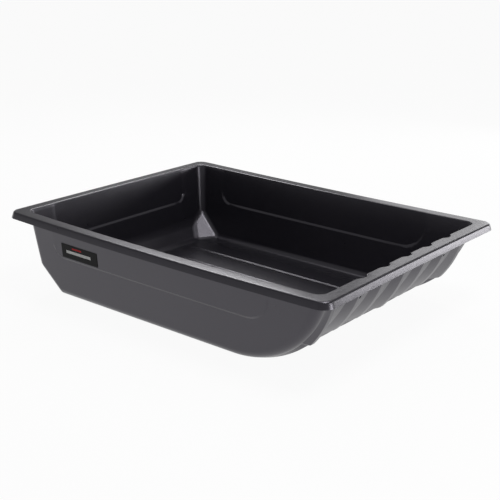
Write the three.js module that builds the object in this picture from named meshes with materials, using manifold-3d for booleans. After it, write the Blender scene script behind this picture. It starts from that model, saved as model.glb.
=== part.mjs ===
// Ice fishing sled: a deep moulded polyethylene tub with an upswept ribbed bow, runners under its
// floor, a flanged rim with a hanging skirt and two tow holes, and a vinyl label on its right side.
// Millimetres. +X points forward to the bow, +Y to the left, +Z up. The runners stand on z = 0.
import * as THREE from "three";
import { mergeVertices } from "three/addons/utils/BufferGeometryUtils.js";
import Module from "manifold-3d";

const wasm = await Module();
wasm.setup();

// Whole sled
const sledLength = 1397;
const sledWidth = 1092; // over the skirt, at the two ends
const tubHeight = 306; // floor underside to rim top
const wall = 4;
const floorWidth = 914.6; // over the outside, at the floor

// Rim: a flat flange that turns down into a skirt
const frontFlange = 55.5; // skirt's outer face to the tub's inner face
const rearFlange = 49.7;
const sideFlange = 56.2;
const skirtHeight = 24.7;
const rimRound = 6.5;
const rimCorner = 45;
const rimReach = 22; // how far the flange blank runs into the tub before the hollow is cut
const rimReachCorner = 12;

// Set of the moulded rim: it dips and spreads along the sides and crowns over the bow
const sideDip = 6.2;
const sideSpread = 5.3;
const bowCrown = 4.1;
const stiffHeight = 60; // below this height the tub keeps its straight shape
const dipShoulderShare = 0.8; // share of the half width past which the whole dip acts

// Tub ends
const bowRadius = 362;
const rearLean = 47.7; // run of the rear wall from the floor to the rim
const rearFootHeight = 69.5; // chamfer between the rear wall and the floor
const rearFootRun = 38;
const floorFillet = 16; // edge between the floor and a side wall
const bowFillet = 34; // the same edge at the top of the bow
const rearFillet = 50; // upright rear corners at the rim
const rearFootFillet = 30; // and at the foot of the rear wall

// Flat facets across the lower rear corners, measured along the three edges that meet there
const facetHeight = 114.5;
const facetAlongSide = 97;
const facetAlongRear = 150;
const facetCut = 300;

// Ribs of the bow, which run on as low runners under the floor. Each one starts at full depth with
// a blunt nose about halfway up the bow, and the outer pair fades out again at the rim
const ribSpacing = 135.5;
const outerRibPlace = 408;
const ribCrest = 24;
const ribBase = 56;
const noseFootShare = 0.56; // share of the way up the bow at which the noses start
const noseTopShare = 0.58;
const ribNoseDepth = 14.5; // middle rib
const slimRibNoseDepth = 10; // the four between the middle and the outer ribs
const outerRibNoseDepth = 18;
const ribRimDepth = 12;
const runnerDepth = 4; // middle and outer runners
const slimRunnerDepth = 3;
const runnerEndDepth = 6; // of every runner but the outer pair, where its nose starts
const outerRunnerEndDepth = 12;
const runnersEachSide = 2; // evenly spaced ones, beside the middle one

// Raised upper panels of the walls
const panelFloorHeight = 156;
const panelRear = 520; // distance of the side panel's ends behind and ahead of the middle
const panelFront = 452;
const panelRearCorner = 55;
const panelFrontCorner = 90;
const panelStep = 5; // stands out at its lower edge
const panelTopStep = 1.5; // and at the rim
const rearPanelFloorHeight = 164;
const rearPanelHalfWidth = 362;
const rearPanelCorner = 40;
const panelRoot = 60; // how far a panel's blank runs back into the tub

// Tow holes through the bow
const towHoleWidth = 10;
const towHoleHeight = 236.5;
const towHoleReach = 60;

// Label on the right side wall
const labelLength = 180;
const labelHeight = 54;
const labelMiddle = 380; // behind the middle of the sled
const labelFloorHeight = 168;
const labelThickness = 0.5;
const fitGap = 0.3;

// Steps of the curved and warped stretches
const bowSteps = 13;
const filletSteps = 4;
const rimSideSteps = 10;
const rimEndSteps = 8;
const cornerSteps = 5;
const roundSteps = 3;
const topSteps = 8;
const panelSteps = 6;
const panelCornerSteps = 4;
const holeSides = 16;

const overrun = 20; // every cut runs this far past what it cuts
const halfLength = sledLength / 2;
const halfWidth = sledWidth / 2;
const halfFloor = floorWidth / 2;
const sideLean = halfWidth - sideFlange + wall - halfFloor;
const rearSlope = Math.atan2(rearLean, tubHeight);
const rearFoot = -halfLength + rearFlange - wall / Math.cos(rearSlope) + rearLean;
const bowInner = bowRadius - wall;
const bowRise = bowRadius - tubHeight;
const bowCentre = halfLength - frontFlange - Math.sqrt(bowInner ** 2 - bowRise ** 2);
const ribPlaces = [-outerRibPlace, outerRibPlace];
for (let i = -runnersEachSide; i <= runnersEachSide; i += 1) ribPlaces.push(i * ribSpacing);
ribPlaces.sort((a, b) => a - b);

// Outer faces of the plain walls at a height over the floor
const sideAt = (z) => halfFloor + (sideLean * z) / tubHeight;
const rearAt = (z) => rearFoot - (rearLean * z) / tubHeight;

// Moves a point of the straight tub to where the moulded sled has it
function settle([x, y, z]) {
  const up = Math.max(0, (z - stiffHeight) / (tubHeight - stiffHeight));
  const along = 1 - (x / halfLength) ** 2;
  const across = Math.abs(y) / halfWidth;
  const dip = sideDip * along * Math.min(1, across / dipShoulderShare);
  const crown = bowCrown * Math.max(0, x / halfLength) ** 4 * (1 - across ** 2);
  const spread = (sideSpread * along * y) / halfWidth;
  return [x, y + spread * up, z + (crown - dip) * up];
}

// Closed body over a row of rings of equal length; a loop of rings has no ends to close
function skin(rings, isLoop) {
  const count = rings[0].length;
  const points = rings.flat();
  const faces = [];
  const last = isLoop ? rings.length : rings.length - 1;
  for (let i = 0; i < last; i += 1) {
    const here = i * count;
    const next = ((i + 1) % rings.length) * count;
    for (let j = 0; j < count; j += 1) {
      const k = (j + 1) % count;
      faces.push(here + j, here + k, next + k, here + j, next + k, next + j);
    }
  }
  if (!isLoop) {
    for (const [start, flip] of [[0, true], [(rings.length - 1) * count, false]]) {
      const ring = points.slice(start, start + count);
      const middle = [0, 1, 2].map((axis) => ring.reduce((sum, p) => sum + p[axis], 0) / count);
      points.push(middle);
      for (let j = 0; j < count; j += 1) {
        const k = (j + 1) % count;
        const pair = flip ? [start + k, start + j] : [start + j, start + k];
        faces.push(points.length - 1, ...pair);
      }
    }
  }
  const geometry = new THREE.BufferGeometry();
  geometry.setAttribute("position", new THREE.Float32BufferAttribute(points.flat(), 3));
  geometry.setIndex(faces);
  return geometry;
}

// three.js geometry to solid and back
function solid(geometry) {
  const bare = geometry.clone();
  bare.deleteAttribute("normal");
  bare.deleteAttribute("uv");
  const merged = mergeVertices(bare);
  const vertProperties = merged.attributes.position.array;
  const triVerts = new Uint32Array(merged.index.array);
  return new wasm.Manifold(new wasm.Mesh({ numProp: 3, vertProperties, triVerts }));
}

function geometryOf(body) {
  const mesh = body.getMesh();
  const geometry = new THREE.BufferGeometry();
  geometry.setAttribute("position", new THREE.BufferAttribute(mesh.vertProperties, 3));
  geometry.setIndex(new THREE.BufferAttribute(mesh.triVerts, 1));
  geometry.computeVertexNormals();
  return geometry;
}

// Corner of an outline where two faces with unit normals meet: its shift for one unit outward
function mitre(a, b) {
  const scale = 1 + a[0] * b[0] + a[1] * b[1];
  return [(a[0] + b[0]) / scale, (a[1] + b[1]) / scale];
}

// Lengthwise outline of the tub, from the top of the rear wall down, along the floor and up the
// bow: place, outward shift, fillet radius, and how full the ribs and runners are
function lengthwise(top) {
  const rearNormal = [-Math.cos(rearSlope), -Math.sin(rearSlope)];
  const footTop = [rearAt(rearFootHeight), rearFootHeight];
  const footEnd = [rearFoot + rearFootRun, 0];
  const footLength = Math.hypot(footEnd[0] - footTop[0], rearFootHeight);
  const footNormal = [-rearFootHeight / footLength, (footTop[0] - footEnd[0]) / footLength];
  const down = [0, -1];
  const outline = [
    { at: [rearAt(top), top], out: [-1 / Math.cos(rearSlope), 0], round: rearFillet, full: 0, bow: 0 },
    { at: footTop, out: mitre(rearNormal, footNormal), round: rearFootFillet, full: 0, bow: 0 },
    { at: footEnd, out: mitre(footNormal, down), round: floorFillet, full: 1, bow: 0 },
  ];
  const rimAngle = Math.acos(Math.max(0, bowRise / bowRadius));
  const topAngle = Math.acos(Math.max(0, (bowRadius - top) / bowRadius));
  const angles = [noseFootShare * rimAngle, noseTopShare * rimAngle];
  for (let i = 0; i <= bowSteps; i += 1) angles.push((topAngle * i) / bowSteps);
  angles.sort((a, b) => a - b);
  for (const angle of angles) {
    const normal = [Math.sin(angle), -Math.cos(angle)];
    const bow = Math.min(1, angle / rimAngle);
    const round = floorFillet + (bowFillet - floorFillet) * bow;
    const at = [bowCentre + bowRadius * normal[0], bowRadius + bowRadius * normal[1]];
    const isTop = angle === topAngle;
    const out = isTop ? [1 / normal[0], 0] : normal;
    outline.push({ at: isTop ? [at[0], top] : at, out, round, full: 1, bow });
  }
  return outline;
}

// Depth of a rib at a share of the way up the bow
function ribDepth(place, bow) {
  const isOuter = Math.abs(place) === outerRibPlace;
  const isSlim = place !== 0 && !isOuter;
  const start = isSlim ? slimRunnerDepth : runnerDepth;
  const foot = isOuter ? outerRunnerEndDepth : runnerEndDepth;
  const rimDepth = isOuter ? 0 : ribRimDepth;
  let nose = isSlim ? slimRibNoseDepth : ribNoseDepth;
  if (isOuter) nose = outerRibNoseDepth;
  const between = (from, to, share) => from + (to - from) * share;
  if (bow <= noseFootShare) return between(start, foot, (bow / noseFootShare) ** 2);
  if (bow >= noseTopShare) return between(nose, rimDepth, (bow - noseTopShare) / (1 - noseTopShare));
  return between(foot, nose, (bow - noseFootShare) / (noseTopShare - noseFootShare));
}

// Crosswise stations of the tub: fillets at both sides, and the feet and crests of the ribs
function stations(inset) {
  const flank = Math.atan2(2 * ribRimDepth, ribBase - ribCrest);
  const shift = inset * Math.tan(flank / 2);
  const list = [];
  for (let i = 0; i <= filletSteps; i += 1) list.push({ side: -1, turn: (Math.PI / 2) * (1 - i / filletSteps) });
  for (const place of ribPlaces) {
    for (const [half, height] of [[-ribBase, 0], [-ribCrest, 1], [ribCrest, 1], [ribBase, 0]]) {
      list.push({ side: 0, y: place + half / 2 - Math.sign(half) * shift, height, place });
    }
  }
  for (let i = 0; i <= filletSteps; i += 1) list.push({ side: 1, turn: ((Math.PI / 2) * i) / filletSteps });
  return list;
}

// The tub as a full body, shrunk all round by an inset and cut level at a top height
function tubBlank(inset, top) {
  const outline = lengthwise(top);
  const rings = stations(inset).map((station) => {
    const ring = outline.map((point) => {
      let out = -inset;
      let y = station.y;
      if (station.side !== 0) {
        const round = point.round - inset;
        out -= round * (1 - Math.cos(station.turn));
        const lift = point.at[1] + point.out[1] * out;
        y = station.side * (sideAt(lift) - inset - round * (1 - Math.sin(station.turn)));
      } else {
        out += station.height * point.full * ribDepth(station.place, point.bow);
      }
      return [point.at[0] + point.out[0] * out, y, point.at[1] + point.out[1] * out];
    });
    const front = ring[ring.length - 1];
    const rear = ring[0];
    for (let i = 1; i < topSteps; i += 1) {
      const share = i / topSteps;
      ring.push(front.map((value, axis) => value + (rear[axis] - value) * share));
    }
    return ring.reverse().map(settle);
  });
  return solid(skin(rings, false));
}

// Block beyond the flat facet of a lower rear corner, for a tub shrunk by an inset
function cornerBlock(side, inset) {
  const apex = new THREE.Vector3(rearAt(facetHeight), side * sideAt(facetHeight), facetHeight);
  const sideFoot = new THREE.Vector3(rearFoot + facetAlongSide, side * halfFloor, 0);
  const rearSide = new THREE.Vector3(rearFoot, side * (halfFloor - facetAlongRear), 0);
  const normal = sideFoot.clone().sub(apex).cross(rearSide.clone().sub(apex)).normalize();
  if (normal.z > 0) normal.negate();
  const middle = apex.clone().add(sideFoot).add(rearSide).divideScalar(3);
  middle.addScaledVector(normal, facetCut / 2 - inset);
  const block = new THREE.BoxGeometry(facetCut * 2, facetCut * 2, facetCut);
  block.applyQuaternion(new THREE.Quaternion().setFromUnitVectors(new THREE.Vector3(0, 0, 1), normal));
  block.translate(middle.x, middle.y, middle.z);
  return solid(block);
}

// Rounded lower outline of a panel as columns: distance along the wall and lowest height
function panelColumns(start, end, floor, startCorner, endCorner) {
  const columns = [];
  for (let i = 0; i <= panelCornerSteps; i += 1) {
    const turn = ((Math.PI / 2) * i) / panelCornerSteps;
    columns.push([start + startCorner * (1 - Math.cos(turn)), floor + startCorner * (1 - Math.sin(turn))]);
  }
  for (let i = 1; i < panelSteps; i += 1) {
    const from = start + startCorner;
    columns.push([from + ((end - endCorner - from) * i) / panelSteps, floor]);
  }
  for (let i = panelCornerSteps; i >= 0; i -= 1) {
    const turn = ((Math.PI / 2) * i) / panelCornerSteps;
    columns.push([end - endCorner * (1 - Math.cos(turn)), floor + endCorner * (1 - Math.sin(turn))]);
  }
  return columns;
}

// How far a panel stands out of its wall at a height
function panelProud(z, floor) {
  return panelStep + ((panelTopStep - panelStep) * (z - floor)) / (tubHeight - floor);
}

// Raised panel of a side wall, as a body that starts inside the tub
function sidePanel(side, inset, top) {
  const ends = [-panelRear + inset, panelFront - inset];
  const corners = [panelRearCorner - inset, panelFrontCorner - inset];
  const columns = panelColumns(...ends, panelFloorHeight + inset, ...corners);
  const faceAt = (z) => sideAt(z) + panelProud(z, panelFloorHeight) - inset;
  const rings = columns.map(([x, low]) => {
    const ring = [[x, faceAt(low), low], [x, faceAt(top), top]];
    ring.push([x, faceAt(top) - panelRoot, top], [x, faceAt(low) - panelRoot, low]);
    if (side < 0) ring.reverse();
    return ring.map(([a, b, c]) => settle([a, side * b, c]));
  });
  return solid(skin(rings, false));
}

// The same on the rear wall
function rearPanel(inset, top) {
  const reach = rearPanelHalfWidth - inset;
  const corner = rearPanelCorner - inset;
  const columns = panelColumns(-reach, reach, rearPanelFloorHeight + inset, corner, corner);
  const faceAt = (z) => rearAt(z) - panelProud(z, rearPanelFloorHeight) + inset / Math.cos(rearSlope);
  const rings = columns.map(([y, low]) => {
    const ring = [[faceAt(low), y, low], [faceAt(top), y, top]];
    ring.push([faceAt(top) + panelRoot, y, top], [faceAt(low) + panelRoot, y, low]);
    return ring.map(settle);
  });
  return solid(skin(rings, false));
}

function tub(inset, top) {
  let body = tubBlank(inset, top);
  for (const side of [-1, 1]) {
    body = body.subtract(cornerBlock(side, inset)).add(sidePanel(side, inset, top));
  }
  return body.add(rearPanel(inset, top));
}

// Path round the rim, anticlockwise from the rear right corner: the skirt's face, the way out of
// it, and the inner end of the flange's blank
function rimPath() {
  const path = [];
  const inner = {
    front: halfLength - frontFlange - rimReach,
    rear: -(halfLength - rearFlange - rimReach),
    side: halfWidth - sideFlange - rimReach,
  };
  const corners = [[-1, -1], [1, -1], [1, 1], [-1, 1]];
  corners.forEach(([sx, sy], index) => {
    const centre = [sx * (halfLength - rimCorner), sy * (halfWidth - rimCorner)];
    const innerX = sx > 0 ? inner.front - rimReachCorner : inner.rear + rimReachCorner;
    const innerCentre = [innerX, sy * (inner.side - rimReachCorner)];
    for (let i = 0; i <= cornerSteps; i += 1) {
      const angle = Math.PI + (Math.PI / 2) * (index + i / cornerSteps);
      const out = [Math.cos(angle), Math.sin(angle)];
      const face = centre.map((value, axis) => value + out[axis] * rimCorner);
      const end = innerCentre.map((value, axis) => value + out[axis] * rimReachCorner);
      path.push({ face, out, end, isCornerEnd: i === cornerSteps });
    }
  });
  const full = [];
  path.forEach((point, index) => {
    full.push(point);
    if (!point.isCornerEnd) return;
    const next = path[(index + 1) % path.length];
    const steps = Math.abs(point.out[1]) > Math.abs(point.out[0]) ? rimSideSteps : rimEndSteps;
    for (let i = 1; i < steps; i += 1) {
      const between = (a, b) => a.map((value, axis) => value + ((b[axis] - value) * i) / steps);
      full.push({ face: between(point.face, next.face), out: point.out, end: between(point.end, next.end) });
    }
  });
  return full;
}

// Flange and skirt, swept round the rim
function rim() {
  const rings = rimPath().map(({ face, out, end }) => {
    const under = (depth, z) => [face[0] - out[0] * depth, face[1] - out[1] * depth, z];
    const ring = [[end[0], end[1], tubHeight - wall], [end[0], end[1], tubHeight]];
    for (let i = 0; i <= roundSteps; i += 1) {
      const turn = ((Math.PI / 2) * i) / roundSteps;
      ring.push(under(rimRound * (1 - Math.sin(turn)), tubHeight - rimRound * (1 - Math.cos(turn))));
    }
    ring.push(under(0, tubHeight - skirtHeight), under(wall, tubHeight - skirtHeight));
    ring.push(under(wall, tubHeight - rimRound), under(rimRound, tubHeight - wall));
    return ring.map(settle);
  });
  return solid(skin(rings, true));
}

function towHole(side) {
  const drill = new THREE.CylinderGeometry(towHoleWidth / 2, towHoleWidth / 2, towHoleReach, holeSides);
  drill.rotateZ(Math.PI / 2);
  const towPlace = runnersEachSide * ribSpacing;
  const x = bowCentre + Math.sqrt(bowRadius ** 2 - (bowRadius - towHoleHeight) ** 2);
  drill.translate(x, side * towPlace, towHoleHeight);
  return solid(drill);
}

function makeHull() {
  const shell = tub(0, tubHeight - wall / 2).add(rim()).subtract(tub(wall, tubHeight + overrun));
  return shell.subtract(towHole(-1)).subtract(towHole(1));
}

// Thin plate that lies along the right side wall's panel
function makeLabel() {
  const faceAt = (z) => sideAt(z) + panelProud(z, panelFloorHeight) + fitGap;
  const top = labelFloorHeight + labelHeight;
  const rings = [];
  for (let i = 0; i <= panelSteps; i += 1) {
    const x = -labelMiddle + labelLength * (i / panelSteps - 1 / 2);
    const inner = [labelFloorHeight, top].map((z) => [x, -faceAt(z), z]);
    const outer = [top, labelFloorHeight].map((z) => [x, -faceAt(z) - labelThickness, z]);
    rings.push([...inner, ...outer].map(settle));
  }
  return skin(rings, false);
}

const blackPolyethylene = new THREE.MeshStandardMaterial({ color: 0x1d1c1f, roughness: 0.42, metalness: 0 });
const labelVinyl = new THREE.MeshStandardMaterial({ color: 0x0c0c0d, roughness: 0.3, metalness: 0 });

const sled = new THREE.Group();
const hull = new THREE.Mesh(geometryOf(makeHull()), blackPolyethylene);
hull.name = "hull";
const label = new THREE.Mesh(makeLabel(), labelVinyl);
label.name = "side_label";
sled.add(hull, label);
for (const piece of sled.children) piece.position.z = runnerDepth;

export default sled;
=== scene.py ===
import math

import bmesh
import bpy
from mathutils import Matrix, Vector


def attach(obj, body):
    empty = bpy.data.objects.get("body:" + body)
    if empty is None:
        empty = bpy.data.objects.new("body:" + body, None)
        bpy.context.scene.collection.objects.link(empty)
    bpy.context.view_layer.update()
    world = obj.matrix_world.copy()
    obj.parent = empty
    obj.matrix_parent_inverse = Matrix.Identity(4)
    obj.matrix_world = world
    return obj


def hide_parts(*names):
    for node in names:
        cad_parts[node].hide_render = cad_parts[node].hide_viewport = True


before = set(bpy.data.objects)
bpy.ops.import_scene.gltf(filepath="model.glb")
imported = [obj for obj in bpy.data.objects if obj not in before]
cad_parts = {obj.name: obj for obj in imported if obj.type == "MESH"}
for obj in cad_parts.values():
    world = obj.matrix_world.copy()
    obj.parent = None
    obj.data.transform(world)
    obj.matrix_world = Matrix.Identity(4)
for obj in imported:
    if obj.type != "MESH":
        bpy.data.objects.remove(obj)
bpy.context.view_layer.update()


scene = bpy.context.scene


def startClean():
    if bpy.context.object and bpy.context.object.mode != "OBJECT":
        bpy.ops.object.mode_set(mode="OBJECT")
    bpy.ops.object.select_all(action="DESELECT")


def workOn(piece):
    startClean()
    piece.select_set(True)
    bpy.context.view_layer.objects.active = piece


def applyAll(piece):
    workOn(piece)
    for modifier in list(piece.modifiers):
        bpy.ops.object.modifier_apply(modifier=modifier.name)


# a shader socket that can be used in plain expressions
class Sock:
    def __init__(self, maker, socket):
        self.maker = maker
        self.socket = socket

    # another output of the same node
    def also(self, name):
        return Sock(self.maker, self.socket.node.outputs[name])

    def math(self, operation, *others):
        return self.maker.node("ShaderNodeMath", {"operation": operation}, dict(enumerate([self, *others])))

    def __add__(self, other):
        return self.math("ADD", other)

    def __radd__(self, other):
        return self.math("ADD", other)

    def __sub__(self, other):
        return self.math("SUBTRACT", other)

    def __rsub__(self, other):
        return self.math("MULTIPLY", -1.0).math("ADD", other)

    def __mul__(self, other):
        return self.math("MULTIPLY", other)

    def __rmul__(self, other):
        return self.math("MULTIPLY", other)

    def __lt__(self, other):
        return self.math("LESS_THAN", other)

    def __gt__(self, other):
        return self.math("GREATER_THAN", other)


# makes the nodes of one material or world
class Maker:
    def __init__(self, owner):
        owner.use_nodes = True
        self.owner = owner
        self.tree = owner.node_tree

    def feed(self, target, value):
        if isinstance(value, Sock):
            self.tree.links.new(value.socket, target)
        else:
            target.default_value = value

    def node(self, kind, settings=None, values=None, out=0):
        made = self.tree.nodes.new(kind)
        for key, value in (settings or {}).items():
            if key == "stops":
                for element, (place, colour) in zip(made.color_ramp.elements, value):
                    element.position, element.color = place, colour
            else:
                setattr(made, key, value)
        for key, value in (values or {}).items():
            self.feed(made.inputs[key], value)
        return Sock(self, made.outputs[out])

    # sets or links the sockets of a node that a new tree starts with
    def put(self, name, values):
        for key, value in values.items():
            self.feed(self.tree.nodes[name].inputs[key], value)

    def objectPlace(self):
        return self.node("ShaderNodeTexCoord", out="Object")

    def noise(self, scale, detail, roughness):
        return self.node("ShaderNodeTexNoise", values={
            "Vector": self.objectPlace(), "Scale": scale, "Detail": detail, "Roughness": roughness})

    # a Mix node takes its colours at inputs 6 and 7 and gives their mix at output 2
    def mixColour(self, share, first, second):
        return self.node("ShaderNodeMix", {"data_type": "RGBA"}, {"Factor": share, 6: first, 7: second}, out=2)


blackPlastic = {
    "colour": (0.0072, 0.0068, 0.0094, 1), "paleColour": (0.0098, 0.0092, 0.0126, 1),
    "roughness": 0.29, "roughnessSpread": 0.08,
    "gloss": 1.70, "glossTint": (0.93, 0.89, 1.0, 1),  # index of refraction, and the tint of what is mirrored
    # scale, detail and roughness of each noise
    "patches": (7, 4, 0.5), "smears": (38, 5, 0.65), "grain": (420, 2, 0.5), "ripple": (5, 1, 0.5),
    "grainHeight": 0.00010, "rippleHeight": 0.0006,
}


def makeBlackPlastic(look):
    made = Maker(bpy.data.materials.new("blackPolyethylene"))
    patches, smears = made.noise(*look["patches"]), made.noise(*look["smears"])
    grain, ripple = made.noise(*look["grain"]), made.noise(*look["ripple"])
    height = grain * look["grainHeight"] + ripple * look["rippleHeight"]
    made.put("Principled BSDF", {
        "Base Color": made.mixColour(patches, look["colour"], look["paleColour"]),
        "Roughness": look["roughness"] + (smears - 0.5) * look["roughnessSpread"],
        "Normal": made.node("ShaderNodeBump", values={"Strength": 1.0, "Distance": 1.0, "Height": height}),
        "IOR": look["gloss"], "Specular Tint": look["glossTint"]})
    return made.owner


labelVinyl = {
    "colour": (0.004, 0.004, 0.0045, 1), "roughness": 0.42, "gloss": 1.20,
    "scuffs": (220, 4, 0.6), "wear": 0.10,
    # plain printed bars: middle along the sled and up, half length, half height, and their colours
    "whiteBar": (-0.385, 0.196, 0.062, 0.0055), "white": (0.62, 0.62, 0.61, 1),
    "redBar": (-0.392, 0.212, 0.024, 0.0030), "red": (0.42, 0.012, 0.014, 1),
}


# 1 inside a bar of the label and 0 outside it
def barMask(made, bar):
    middle, height, halfLength, halfHeight = bar
    along = made.node("ShaderNodeSeparateXYZ", values={0: made.objectPlace()}, out="X")
    inLength = (along - middle).math("ABSOLUTE") < halfLength
    inHeight = (along.also("Z") - height).math("ABSOLUTE") < halfHeight
    return inLength * inHeight


def makeLabelVinyl(look):
    made = Maker(bpy.data.materials.new("labelVinyl"))
    scuffs = made.noise(*look["scuffs"])
    colour = look["colour"]
    for bar, ink in (("whiteBar", "white"), ("redBar", "red")):
        inked = barMask(made, look[bar]) * (1 - scuffs * look["wear"])
        colour = made.mixColour(inked, colour, look[ink])
    made.put("Principled BSDF", {
        "Base Color": colour, "Roughness": look["roughness"] + (scuffs - 0.5) * look["wear"],
        "IOR": look["gloss"]})
    return made.owner


def dress(piece, material):
    piece.data.materials.clear()
    piece.data.materials.append(material)


# the moulded tub, in metres and degrees; a rounding is its reach and its segments
hullForm = {
    "length": 1.397, "width": 1.092, "height": 0.306, "wall": 0.004, "floorWidth": 0.9146,
    "blankTop": 0.34, "spareTop": 0.01,
    "frontFlange": 0.0555, "rearFlange": 0.0497, "sideFlange": 0.0562, "rearLean": 0.0477,
    "skirtHeight": 0.0247, "skirtCorner": 0.041, "skirtFlare": 0.0065,
    "skirtRounding": (0.0035, 3), "rimInnerRounding": (0.0012, 2),
    "bowRadius": 0.362, "bowBlankTurn": 84, "bowSegments": 36,
    "rearFootHeight": 0.0695, "rearFootRun": 0.038, "rearFootRound": 0.022, "rearFootCornerRound": 0.015,
    "facetHeight": 0.1145, "facetAlongSide": 0.097, "facetAlongRear": 0.150, "facetRound": 0.016,
    "floorRound": 0.027, "bowRound": 0.034, "rearRound": 0.046, "roundSegments": 8,
    # lines round the rear corners: their heights, and how far back and out they start
    "rearCornerCuts": (0.145, 0.19, 0.225, 0.26, 0.29), "rearCornerStart": (-0.5, 0.34),
    # lines across the whole tub, and up the rear wall
    "stations": (-0.375, -0.25, -0.125, 0, 0.125, 0.25),
    "crossStations": (-0.3, -0.2, -0.1, 0, 0.1, 0.2, 0.3),
    # how the tub bends, and the height of its runners
    "sideDip": 0.0062, "sideSpread": 0.0053, "bowCrown": 0.0041, "dipShoulder": 0.8, "stiffHeight": 0.060,
    "runnerDepth": 0.004,
    "holeWidth": 0.010, "holePlace": 0.271, "holeHeight": 0.2365, "holeSides": 24,
    "drillPlace": 0.645, "drillLength": 0.12,
    "foldReach": 0.014, "foldAngle": 120, "foldSmooth": 8, "softAngle": 26,
}

# ribs on the bow and runners under the floor, in metres; nose places are shares of the way up the bow
ribForm = {
    "places": (-0.408, -0.271, -0.1355, 0.0, 0.1355, 0.271, 0.408), "outer": 0.4,
    # foot, crest's start, crest's end and foot across a rib, and how far a runner's lines lie from them
    "lines": (-0.028, -0.0125, 0.010, 0.027), "runnerShifts": (0.018, 0.0065, 0.011, 0), "shiftEnd": -0.55,
    # the slope that leads up to a rib on the bow, and where its foot is cut
    "footAtRim": -0.034, "footSlant": 0.345, "nearFoot": -0.0375, "slopeZone": (-0.13, -0.01),
    "noseFoot": 0.56, "noseTop": 0.58, "noseZone": 0.2,
    # depth at the start of the bow, at the nose's foot, at its top and at the rim
    "depths": {"outer": (0.004, 0.012, 0.018, 0.0), "slim": (0.003, 0.006, 0.010, 0.012),
               "middle": (0.004, 0.006, 0.0145, 0.012)},
    "runnerEnd": (-0.516, -0.488), "rounding": (0.0015, 2), "weld": 0.0002,
}

# wall panels, in metres: both ends, the foot, and the round lower corner at each end
panelForm = {
    "side": (-0.520, 0.452, 0.156, 0.055, 0.090), "rear": (-0.362, 0.362, 0.164, 0.040, 0.040),
    "step": 0.0045, "topStep": 0.0015, "slope": 0.0075, "cornerChords": 6,
}

# limits that tell corners, edges and faces apart: metres, then shares of a normal, then degrees
limit = {
    "onPlane": 1e-6, "same": 1e-5, "close": 1e-4, "bowStart": 0.001, "onBow": 0.0006, "slopeLine": 0.0025,
    "floorZone": 0.02, "rearFootZone": 0.03, "runnerZone": 0.05,
    "straight": 0.9, "flat": 0.95, "panel": 0.97, "panelTurn": 0.1, "facet": 0.2, "bow": 0.25, "under": 0.3,
    "slope": 0.5,
    "flatEdge": 8, "flatRib": 4,
}

halfFloor = hullForm["floorWidth"] / 2
sideLean = hullForm["width"] / 2 - hullForm["sideFlange"] + hullForm["wall"] - halfFloor
rearSlope = math.atan2(hullForm["rearLean"], hullForm["height"])
rearFoot = (-hullForm["length"] / 2 + hullForm["rearFlange"] - hullForm["wall"] / math.cos(rearSlope)
            + hullForm["rearLean"])
bowInner = hullForm["bowRadius"] - hullForm["wall"]
bowRise = hullForm["bowRadius"] - hullForm["height"]
bowCentre = hullForm["length"] / 2 - hullForm["frontFlange"] - math.sqrt(bowInner ** 2 - bowRise ** 2)
rimTurn = math.acos(bowRise / hullForm["bowRadius"])
flangeUnder = hullForm["height"] - hullForm["wall"]


def sideAt(z):
    return halfFloor + sideLean * z / hullForm["height"]


def rearAt(z):
    return rearFoot - hullForm["rearLean"] * z / hullForm["height"]


# how far a place has turned round the bow's centre from straight below it
def bowTurn(place):
    return math.atan2(place.x - bowCentre, hullForm["bowRadius"] - place.z)


def blend(first, last, share):
    return first + (last - first) * share


# selects the corners, edges or faces that pass a test, and nothing else
def pick(piece, kind, test):
    bpy.ops.mesh.select_mode(type=kind)
    bpy.ops.mesh.select_all(action="DESELECT")
    mesh = bmesh.from_edit_mesh(piece.data)
    mesh.normal_update()
    items = {"VERT": mesh.verts, "EDGE": mesh.edges, "FACE": mesh.faces}[kind]
    for item in [item for item in items if test(item)]:
        item.select_set(True)
    bmesh.update_edit_mesh(piece.data)


def middleOf(item):
    if isinstance(item, bmesh.types.BMFace):
        return item.calc_center_median()
    return (item.verts[0].co + item.verts[1].co) / 2


def cut(piece, place, normal, test=None, **options):
    pick(piece, "FACE", test or (lambda face: True))
    bpy.ops.mesh.bisect(plane_co=place, plane_no=normal, threshold=limit["onPlane"], **options)


def roundPicked(reach, segments):
    bpy.ops.mesh.bevel(offset=reach, offset_type="OFFSET", segments=segments, profile=0.5,
                       affect="EDGES", clamp_overlap=False)


# moves the chosen corners by a rule that gives each one its new place
def moveCorners(piece, rule, chosen=None):
    mesh = bmesh.from_edit_mesh(piece.data)
    mesh.normal_update()
    moves = [(corner, rule(corner)) for corner in mesh.verts if chosen is None or chosen(corner)]
    for corner, place in moves:
        corner.co = place
    bmesh.update_edit_mesh(piece.data)


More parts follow.
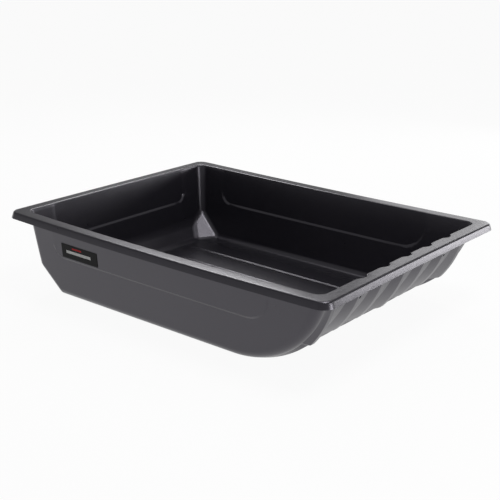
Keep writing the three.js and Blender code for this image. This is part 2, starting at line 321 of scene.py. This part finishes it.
# a box with leaning walls, its lower front edge rounded into the bow
def makeBlank(form):
    startClean()
    turn = math.radians(form["bowBlankTurn"])
    reach = form["bowRadius"] * math.tan(turn / 2)
    front, top = bowCentre + reach, form["blankTop"]
    bpy.ops.mesh.primitive_cube_add(size=1, location=((front + rearFoot) / 2, 0, top / 2),
                                    scale=(front - rearFoot, form["floorWidth"], top))
    piece = bpy.context.object
    piece.name = "hullShell"
    bpy.ops.object.transform_apply(location=True, rotation=True, scale=True)
    bpy.ops.object.mode_set(mode="EDIT")
    pick(piece, "VERT", lambda corner: corner.co.z > top / 2)
    bpy.ops.transform.resize(value=(1, sideAt(top) / halfFloor, 1), center_override=(0, 0, 0))
    for end, lean in ((-1, rearAt(top) - rearFoot), (1, top / math.tan(turn))):
        pick(piece, "VERT", lambda corner: corner.co.z > top / 2 and corner.co.x * end > 0)
        bpy.ops.transform.translate(value=(lean, 0, 0))
    pick(piece, "EDGE",
         lambda edge: middleOf(edge).z < limit["same"] and middleOf(edge).x > front - limit["same"])
    roundPicked(reach, form["bowSegments"])
    moveCorners(piece, onArc, lambda corner: corner.co.x > bowCentre + limit["close"]
                and limit["same"] < corner.co.z < top - limit["close"])
    return piece


# puts a corner of the bow exactly on its arc and in the plane of its side wall
def onArc(corner):
    turn = bowTurn(corner.co)
    z = hullForm["bowRadius"] * (1 - math.cos(turn))
    x = bowCentre + hullForm["bowRadius"] * math.sin(turn)
    return Vector((x, math.copysign(sideAt(z), corner.co.y), z))


# chamfer at the foot of the rear wall, and flat facets across the lower rear corners
def cutRearFoot(piece, form):
    footTop = Vector((rearAt(form["rearFootHeight"]), 0, form["rearFootHeight"]))
    footEnd = Vector((rearFoot + form["rearFootRun"], 0, 0))
    along = footEnd - footTop
    cut(piece, footTop, (along.z, 0, -along.x), clear_outer=True, use_fill=True)
    height = form["facetHeight"]
    for side in (-1, 1):
        apex = Vector((rearAt(height), side * sideAt(height), height))
        sideFoot = Vector((rearFoot + form["facetAlongSide"], side * halfFloor, 0))
        rearSide = Vector((rearFoot, side * (halfFloor - form["facetAlongRear"]), 0))
        normal = (sideFoot - apex).cross(rearSide - apex).normalized()
        if normal.z > 0:
            normal.negate()
        cut(piece, apex, normal, clear_outer=True, use_fill=True)
    startX, startY = form["rearCornerStart"]
    cut(piece, (startX, 0, 0), (1, 0, 0))
    for y in (startY, -startY):
        cut(piece, (0, y, 0), (0, 1, 0))

    def isCornerWall(face):
        middle = middleOf(face)
        isWall = abs(face.normal.y) > limit["straight"] or face.normal.x < -limit["straight"]
        return isWall and middle.x < startX and abs(middle.y) > startY
    for height in form["rearCornerCuts"]:
        cut(piece, (0, 0, height), (0, 0, 1), isCornerWall)


# how far an edge of the blank is rounded
def roundingOf(edge, form):
    if len(edge.link_faces) != 2:
        return 0
    normals = [face.normal for face in edge.link_faces]
    isSide = [abs(normal.y) > limit["flat"] for normal in normals]
    isFacet = [abs(normal.y) > limit["facet"] and not side for normal, side in zip(normals, isSide)]
    isTop = max(normal.z for normal in normals) > limit["straight"]
    if isTop or normals[0].angle(normals[1]) < math.radians(limit["flatEdge"]):
        return 0
    if any(isFacet):
        return form["facetRound"]
    middle = middleOf(edge)
    if not any(isSide):
        return form["rearFootRound"] if middle.x < 0 else 0
    if middle.x < 0 and middle.z > limit["floorZone"]:
        share = min(1, (middle.z - form["facetHeight"]) / (form["height"] - form["facetHeight"]))
        return blend(form["rearFootCornerRound"], form["rearRound"], share)
    share = min(1, bowTurn(middle) / rimTurn) if middle.x > bowCentre else 0
    return blend(form["floorRound"], form["bowRound"], share)


def roundBlank(piece, form):
    mesh = bmesh.from_edit_mesh(piece.data)
    mesh.normal_update()
    weights = mesh.edges.layers.float.new("bevel_weight_edge")
    widest = form["rearRound"]
    for edge in mesh.edges:
        edge[weights] = roundingOf(edge, form) / widest
    bmesh.update_edit_mesh(piece.data)
    bpy.ops.object.mode_set(mode="OBJECT")
    rounding = piece.modifiers.new("edgeRounding", "BEVEL")
    rounding.limit_method = "WEIGHT"
    rounding.offset_type = "OFFSET"
    rounding.width = widest
    rounding.segments = form["roundSegments"]
    rounding.profile = 0.5
    rounding.use_clamp_overlap = False
    applyAll(piece)
    bpy.ops.object.mode_set(mode="EDIT")


def isOnBow(place):
    reach = math.hypot(place.x - bowCentre, hullForm["bowRadius"] - place.z)
    return place.x >= bowCentre + limit["bowStart"] and abs(reach - hullForm["bowRadius"]) < limit["onBow"]


# where the slope up to a rib starts, from the rib's middle
def slopeFoot(place, z, ribs):
    if place < -ribs["outer"]:
        return ribs["nearFoot"]
    return ribs["footAtRim"] - ribs["footSlant"] * (hullForm["height"] - z)


# depth of a rib at a share of the way up the bow, and of its runner at share 0
def ribDepth(place, share, ribs):
    kind = "outer" if abs(place) > ribs["outer"] else "slim" if place else "middle"
    start, foot, nose, rim = ribs["depths"][kind]
    noseFoot, noseTop = ribs["noseFoot"], ribs["noseTop"]
    if share <= noseFoot:
        return blend(start, foot, (share / noseFoot) ** 2)
    if share >= noseTop:
        return nose + (rim - nose) * (share - noseTop) / (1 - noseTop)
    return foot + (nose - foot) * (share - noseFoot) / (noseTop - noseFoot)


# share of a rib's whole depth at a distance across it
def ribFullness(y, place, z, isRib, ribs):
    footBefore, crestStart, crestEnd, footAfter = ribs["lines"]
    if isRib:
        footBefore = slopeFoot(place, z, ribs)
    across = y - place
    if across <= crestStart:
        return max(0, (across - footBefore) / (crestStart - footBefore))
    if across >= crestEnd:
        return max(0, (footAfter - across) / (footAfter - crestEnd))
    return 1


def cutRibs(piece, form, ribs):
    for place in ribs["places"]:
        for line in ribs["lines"]:
            cut(piece, (0, place + line, 0), (0, 1, 0))
    for share in (ribs["noseFoot"], ribs["noseTop"]):
        turn = share * rimTurn
        cut(piece, (bowCentre, 0, form["bowRadius"]), (math.cos(turn), 0, math.sin(turn)),
            lambda face: face.normal.x > limit["bow"] and middleOf(face).z < ribs["noseZone"])
    noseTurn = ribs["noseTop"] * rimTurn
    for place in ribs["places"]:
        if place < -ribs["outer"]:
            where, normal = (0, place + ribs["nearFoot"], 0), (0, 1, 0)
        else:
            where, normal = (0, place + ribs["footAtRim"], form["height"]), (0, 1, -ribs["footSlant"])
        low, high = [place + end for end in ribs["slopeZone"]]
        cut(piece, where, normal, lambda face: face.normal.x > limit["slope"]
            and low < middleOf(face).y < high and bowTurn(middleOf(face)) > noseTurn)
    for where in ribs["runnerEnd"]:
        cut(piece, (where, 0, 0), (1, 0, 0), lambda face: face.normal.z < -limit["flat"])


# pushes the ribs out of the bow, and the runners out of the floor
def pushRibs(piece, form, ribs):
    ribStart = ribs["noseFoot"] * rimTurn + limit["close"]
    floorEnd = bowCentre + limit["bowStart"] + limit["close"]
    runnerStart, runnerFull = ribs["runnerEnd"]

    def pushed(corner):
        place = corner.co
        if isOnBow(place):
            turn = bowTurn(place)
            share, isRib, full = min(1, turn / rimTurn), turn > ribStart, 1
            out = Vector((math.sin(turn), 0, -math.cos(turn)))
        elif (place.x < floorEnd and abs(place.y) < halfFloor - form["floorRound"]
                and corner.normal.z < -limit["under"]):
            share, isRib, out = 0, False, corner.normal
            full = min(1, max(0, (place.x - runnerStart) / (runnerFull - runnerStart)))
        else:
            return place
        depth = max(ribFullness(place.y, rib, place.z, isRib, ribs) * full * ribDepth(rib, share, ribs)
                    for rib in ribs["places"])
        return place + out * depth
    moveCorners(piece, pushed)


# the inner runners under the floor have steeper flanks than the ribs
def steepenRunners(piece, ribs):
    def shifted(corner):
        place = corner.co.copy()
        share = 1
        if place.x > bowCentre:
            share = 1 - min(1, max(0, bowTurn(place) / (ribs["noseFoot"] * rimTurn)))
        for rib in ribs["places"][1:-1]:
            for line, shift in zip(ribs["lines"], ribs["runnerShifts"]):
                if abs(place.y - rib - line) < limit["same"]:
                    place.y += shift * share
                    return place
        return place
    moveCorners(piece, shifted,
                lambda corner: corner.co.z < limit["runnerZone"] and corner.co.x > ribs["shiftEnd"])


def isRibLine(edge, ribs):
    first, second = edge.verts[0].co, edge.verts[1].co
    if edge.is_boundary or (first.x < 0 and max(first.z, second.z) > limit["rearFootZone"]):
        return False
    if edge.calc_face_angle(0) < math.radians(limit["flatRib"]):
        return False
    isRib = (min(first.x, second.x) > bowCentre
             and min(bowTurn(first), bowTurn(second)) > ribs["noseTop"] * rimTurn - limit["close"])
    for place in ribs["places"]:
        for line, shift in zip(ribs["lines"], ribs["runnerShifts"]):
            if abs(place + line) > halfFloor - hullForm["floorRound"]:
                continue
            for at in (place + line, place + line + shift):
                if max(abs(first.y - at), abs(second.y - at)) < limit["same"]:
                    return True
        if isRib and place > -ribs["outer"]:
            gaps = [corner.y - place - slopeFoot(place, corner.z, ribs) for corner in (first, second)]
            if max(abs(gap) for gap in gaps) < limit["slopeLine"]:
                return True
    return False


def roundRibs(piece, ribs):
    pick(piece, "EDGE", lambda edge: isRibLine(edge, ribs))
    roundPicked(*ribs["rounding"])
    bpy.ops.mesh.select_all(action="SELECT")
    bpy.ops.mesh.remove_doubles(threshold=ribs["weld"])
    bpy.ops.mesh.dissolve_degenerate(threshold=ribs["weld"] / 2)


# chords round a panel's lower corner, as pairs of end points
def cornerChords(centre, radius, side, count):
    points = []
    for step in range(count + 1):
        turn = math.radians(90) * step / count
        points.append((centre[0] + side * radius * math.cos(turn), centre[1] - radius * math.sin(turn)))
    return list(zip(points, points[1:]))


# sets a panel outwards from its wall, with axis 0 along the sled and axis 1 across it
def cutPanel(piece, panel, outward, axis, start, end, low, startCorner, endCorner):
    top = hullForm["blankTop"]
    chords = []

    def along(distance, z):
        place = Vector((0, 0, z))
        place[axis] = distance
        return place

    def onWall(face):
        return face.normal.dot(outward) > limit["panel"] and face.normal.x < limit["panelTurn"]

    def inBox(face, near, far, bottom, ceiling):
        middle = middleOf(face)
        return onWall(face) and near < middle[axis] < far and bottom < middle.z < ceiling
    cut(piece, (0, 0, low), (0, 0, 1), onWall)
    for place in (start, end, start + startCorner, end - endCorner):
        cut(piece, along(place, 0), along(1, 0), onWall)
    for side, edge, corner in ((-1, start, startCorner), (1, end, endCorner)):
        near, far = sorted((edge, edge - side * corner))
        cut(piece, (0, 0, low + corner), (0, 0, 1), lambda face: inBox(face, near, far, low, top))
        centre = (edge - side * corner, low + corner)
        for first, second in cornerChords(centre, corner, side, panel["cornerChords"]):
            run, rise = second[0] - first[0], second[1] - first[1]
            normal = (-rise, run) if -rise * side >= 0 else (rise, -run)
            chords.append((first, normal, near, far, low + corner))
            cut(piece, along(*first), along(*normal), lambda face: inBox(face, near, far, low, low + corner))

    def isBeyond(middle, chord):
        first, normal, near, far, ceiling = chord
        beyond = (middle[axis] - first[0]) * normal[0] + (middle.z - first[1]) * normal[1]
        return near < middle[axis] < far and middle.z < ceiling and beyond > 0
    pick(piece, "FACE", lambda face: inBox(face, start, end, low, top)
         and not any(isBeyond(middleOf(face), chord) for chord in chords))
    bpy.ops.mesh.dissolve_faces(use_verts=False)
    bpy.ops.mesh.inset(thickness=panel["slope"], depth=0, use_boundary=False, use_even_offset=True)
    fall = (panel["topStep"] - panel["step"]) / (hullForm["height"] - low)
    moveCorners(piece, lambda corner: corner.co + outward * (panel["step"] + fall * (corner.co.z - low)),
                lambda corner: corner.select)


# where a corner of the tub's top edge lands on the outer edge of the flange
def flangePlace(place, form):
    corner = form["skirtCorner"] + form["wall"]
    reachX, reachY = form["length"] / 2 - corner, form["width"] / 2 - corner
    signX, signY = math.copysign(1, place.x), math.copysign(1, place.y)
    z = flangeUnder
    radius, endX = form["rearRound"], -rearAt(z)
    if place.x > 0:
        radius = form["bowRound"]
        endX = bowCentre + math.sqrt(form["bowRadius"] ** 2 - (form["bowRadius"] - z) ** 2)
    beyondX, beyondY = abs(place.x) - endX + radius, abs(place.y) - sideAt(z) + radius
    out = form["skirtCorner"] - form["skirtFlare"]
    if min(beyondX, beyondY) > limit["close"]:
        turn = math.atan2(beyondY, beyondX)
        return Vector((signX * (reachX + out * math.cos(turn)), signY * (reachY + out * math.sin(turn)), z))
    if beyondX > beyondY:
        return Vector((signX * (reachX + out), place.y, z))
    return Vector((place.x, signY * (reachY + out), z))


# the skirt flares as it hangs down from the flange
def skirtPlace(place, form):
    corner = form["skirtCorner"] + form["wall"]
    beyond = Vector((abs(place.x) - form["length"] / 2 + corner, abs(place.y) - form["width"] / 2 + corner, 0))
    if min(beyond.x, beyond.y) < 0:
        beyond = Vector((1, 0, 0)) if beyond.x > beyond.y else Vector((0, 1, 0))
    way = beyond.normalized() * form["skirtFlare"]
    return Vector((place.x + math.copysign(way.x, place.x), place.y + math.copysign(way.y, place.y),
                   form["height"] - form["skirtHeight"]))


def addRim(piece, form):
    pick(piece, "EDGE", lambda edge: edge.is_boundary)
    for placeOf in (flangePlace, skirtPlace):
        bpy.ops.mesh.extrude_edges_move(TRANSFORM_OT_translate={"value": (0, 0, 0)})
        moveCorners(piece, lambda corner: placeOf(corner.co, form), lambda corner: corner.select)
    bottom = form["height"] - form["skirtHeight"]

    # the flange meets the skirt along its outer edge and the tub along its inner one
    def isFlangeEdge(edge, isOuter):
        if max(abs(corner.co.z - flangeUnder) for corner in edge.verts) > limit["same"]:
            return False
        upright = [face for face in edge.link_faces if abs(face.normal.z) <= limit["straight"]]
        if len(edge.link_faces) != 2 or len(upright) != 1:
            return False
        wall = upright[0]
        isSkirt = (len(wall.verts) == 4 and min(corner.co.z for corner in wall.verts) > bottom - limit["close"]
                   and abs(middleOf(wall).z - (bottom + flangeUnder) / 2) < limit["close"])
        return isSkirt == isOuter
    for isOuter, rounding in ((True, form["skirtRounding"]), (False, form["rimInnerRounding"])):
        pick(piece, "EDGE", lambda edge: isFlangeEdge(edge, isOuter))
        roundPicked(*rounding)


# the moulded sled dips and spreads along its sides and crowns over the bow
def settled(place, form):
    halfLength, halfWidth = form["length"] / 2, form["width"] / 2
    up = max(0, (place.z - form["stiffHeight"]) / (form["height"] - form["stiffHeight"]))
    along = 1 - (place.x / halfLength) ** 2
    across = abs(place.y) / halfWidth
    dip = form["sideDip"] * along * min(1, across / form["dipShoulder"])
    crown = form["bowCrown"] * max(0, place.x / halfLength) ** 4 * (1 - across ** 2)
    spread = form["sideSpread"] * along * place.y / halfWidth
    return Vector((place.x, place.y + spread * up, place.z + (crown - dip) * up + form["runnerDepth"]))


def thicken(piece, form):
    wall = piece.modifiers.new("wall", "SOLIDIFY")
    wall.thickness = form["wall"]
    wall.offset = -1
    wall.use_even_offset = False
    wall.use_quality_normals = True
    applyAll(piece)


# evens out the tiny folds that the wall's inner face has where roundings meet
def relaxFolds(piece, form):
    bpy.ops.object.mode_set(mode="EDIT")
    pick(piece, "EDGE", lambda edge: edge.calc_length() < form["foldReach"]
         and edge.calc_face_angle(0) > math.radians(form["foldAngle"]))
    bpy.ops.mesh.vertices_smooth(factor=0.5, repeat=form["foldSmooth"])


# tow holes, drilled through the second rib from each side
def drillTowHoles(piece, form):
    drills = []
    for side in (-1, 1):
        startClean()
        bpy.ops.mesh.primitive_cylinder_add(
            vertices=form["holeSides"], radius=form["holeWidth"] / 2, depth=form["drillLength"],
            location=(form["drillPlace"], side * form["holePlace"], form["holeHeight"] + form["runnerDepth"]),
            rotation=(0, math.radians(90), 0))
        drills.append(bpy.context.object)
    for drill in drills:
        hole = piece.modifiers.new("towHole", "BOOLEAN")
        hole.operation = "DIFFERENCE"
        hole.object = drill
        hole.solver = "EXACT"
    applyAll(piece)
    for drill in drills:
        bpy.data.objects.remove(drill, do_unlink=True)


def makeHullShell(form, ribs, panel):
    piece = makeBlank(form)
    cutRearFoot(piece, form)
    roundBlank(piece, form)
    cut(piece, (0, 0, form["height"] + form["spareTop"]), (0, 0, 1), clear_outer=True)
    cutRibs(piece, form, ribs)
    pushRibs(piece, form, ribs)
    steepenRunners(piece, ribs)
    roundRibs(piece, ribs)
    cut(piece, (0, 0, flangeUnder), (0, 0, 1), clear_outer=True)
    print("hull: walls, bow and ribs shaped")
    for side in (-1, 1):
        cutPanel(piece, panel, Vector((0, side, 0)), 0, *panel["side"])
    cutPanel(piece, panel, Vector((-1, 0, 0)), 1, *panel["rear"])
    for station in form["stations"]:
        cut(piece, (station, 0, 0), (1, 0, 0))
    for station in form["crossStations"]:
        cut(piece, (0, station, 0), (0, 1, 0), lambda face: face.normal.x < -limit["straight"])
    addRim(piece, form)
    moveCorners(piece, lambda corner: settled(corner.co, form))
    thicken(piece, form)
    relaxFolds(piece, form)
    drillTowHoles(piece, form)
    workOn(piece)
    bpy.ops.object.shade_smooth_by_angle(angle=math.radians(form["softAngle"]))
    shading = piece.modifiers.new("flatFaces", "WEIGHTED_NORMAL")
    shading.keep_sharp = True
    applyAll(piece)
    print("hull: panels, rim and tow holes done,", len(piece.data.polygons), "faces")
    return piece


hullBlack = makeBlackPlastic(blackPlastic)
labelLook = makeLabelVinyl(labelVinyl)
hull = makeHullShell(hullForm, ribForm, panelForm)
dress(hull, hullBlack)
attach(hull, "root")
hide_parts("hull")

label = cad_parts["side_label"]
dress(label, labelLook)
print("hull and label dressed")

# a pale floor, a surround that is white near the horizon, and soft lights
studio = {
    "floorReach": 60.0, "floorDrop": 0.0005, "floorColour": (0.8, 0.8, 0.8, 1), "floorRoughness": 0.9,
    "floorGlow": 0.94,
    "surround": ((0.03, 1.0), (0.09, 0.30)), "surroundLevel": 1.0,  # height and brightness at its two stops
    "aim": (0, 0, 0.15),
    "lights": [
        # name, turn from the bow towards the left side, rise, distance, width, height, watts
        ("facetSoftbox", 350, 66, 3.1, 1.2, 1.0, 44),
        ("backSoftbox", 135, 38, 3.6, 1.2, 1.0, 31),
        ("bowSoftbox", 5, 4, 3.6, 1.2, 1.0, 34),
        ("leftLowSoftbox", 90, 10, 3.6, 1.2, 1.0, 10),
        ("leftHighSoftbox", 104, 21, 3.6, 1.2, 1.0, 6),
        ("leftBowSoftbox", 57, 5, 9.0, 3.0, 1.6, 115),
        ("overheadSoftbox", 135, 65, 3.2, 1.6, 1.4, 9),
    ],
}


# a pale surface that also glows where the camera or a mirroring surface sees it
def makePaleFloor(settings):
    made = Maker(bpy.data.materials.new("paleFloor"))
    made.put("Principled BSDF", {
        "Base Color": settings["floorColour"], "Roughness": settings["floorRoughness"]})
    cameraRay = made.node("ShaderNodeLightPath", out="Is Camera Ray")
    seen = cameraRay + cameraRay.also("Is Glossy Ray") + cameraRay.also("Is Transmission Ray")
    surface = Sock(made, made.tree.nodes["Principled BSDF"].outputs["BSDF"])
    mixed = made.node("ShaderNodeMixShader", values={
        0: seen * settings["floorGlow"], 1: surface, 2: made.node("ShaderNodeEmission")})
    made.put("Material Output", {"Surface": mixed})
    return made.owner


# white round the horizon and darker overhead
def makeSurround(settings):
    made = Maker(bpy.data.worlds.new("softStudio"))
    way = made.node("ShaderNodeTexCoord", out="Generated")
    height = made.node("ShaderNodeSeparateXYZ", values={0: way}, out="Z")
    stops = [(place, (level, level, level, 1)) for place, level in settings["surround"]]
    shade = made.node("ShaderNodeValToRGB", {"stops": stops}, {0: height})
    made.put("Background", {"Color": shade, "Strength": settings["surroundLevel"]})
    scene.world = made.owner


def makeStudio(settings):
    startClean()
    bpy.ops.mesh.primitive_plane_add(size=settings["floorReach"], location=(0, 0, -settings["floorDrop"]))
    floor = bpy.context.object
    floor.name = "studioFloor"
    dress(floor, makePaleFloor(settings))
    makeSurround(settings)
    aim = Vector(settings["aim"])
    for name, turn, rise, distance, width, height, watts in settings["lights"]:
        turn, rise = math.radians(turn), math.radians(rise)
        way = Vector((math.cos(turn) * math.cos(rise), math.sin(turn) * math.cos(rise), math.sin(rise)))
        lamp = bpy.data.lights.new(name, "AREA")
        lamp.shape = "RECTANGLE"
        lamp.size, lamp.size_y = width, height
        lamp.energy = watts
        holder = bpy.data.objects.new(name, lamp)
        scene.collection.objects.link(holder)
        holder.location = aim + way * distance
        holder.rotation_euler = (-way).to_track_quat("-Z", "Y").to_euler()
        holder.visible_camera = False
    print("studio ready")


makeStudio(studio)

# camera at the photograph's viewing angle
view = {
    "place": (2.14111, -2.81241, 1.36012), "azimuth": 39.7108, "elevation": 18.5271, "roll": 0.86955,
    "lens": 73.2102, "sensor": 36.0, "shiftX": 0.08444, "shiftY": 0.00131, "farthest": 100,
}


def makeCamera(settings):
    lens = bpy.data.cameras.new("photoCamera")
    lens.lens = settings["lens"]
    lens.sensor_width = settings["sensor"]
    lens.sensor_fit = "HORIZONTAL"
    lens.shift_x = settings["shiftX"]
    lens.shift_y = settings["shiftY"]
    lens.clip_end = settings["farthest"]
    camera = bpy.data.objects.new("photoCamera", lens)
    scene.collection.objects.link(camera)
    turn, rise = math.radians(settings["azimuth"]), math.radians(settings["elevation"])
    forward = Vector((-math.sin(turn) * math.cos(rise), math.cos(turn) * math.cos(rise), -math.sin(rise)))
    right = Vector((math.cos(turn), math.sin(turn), 0))
    up = right.cross(forward)
    roll = math.radians(settings["roll"])
    side = math.cos(roll) * right + math.sin(roll) * up
    top = -math.sin(roll) * right + math.cos(roll) * up
    facing = Matrix((side, top, -forward)).transposed().to_4x4()
    camera.matrix_world = Matrix.Translation(settings["place"]) @ facing
    scene.camera = camera
    print("camera ready")


makeCamera(view)
scene.view_settings.view_transform = "Standard"
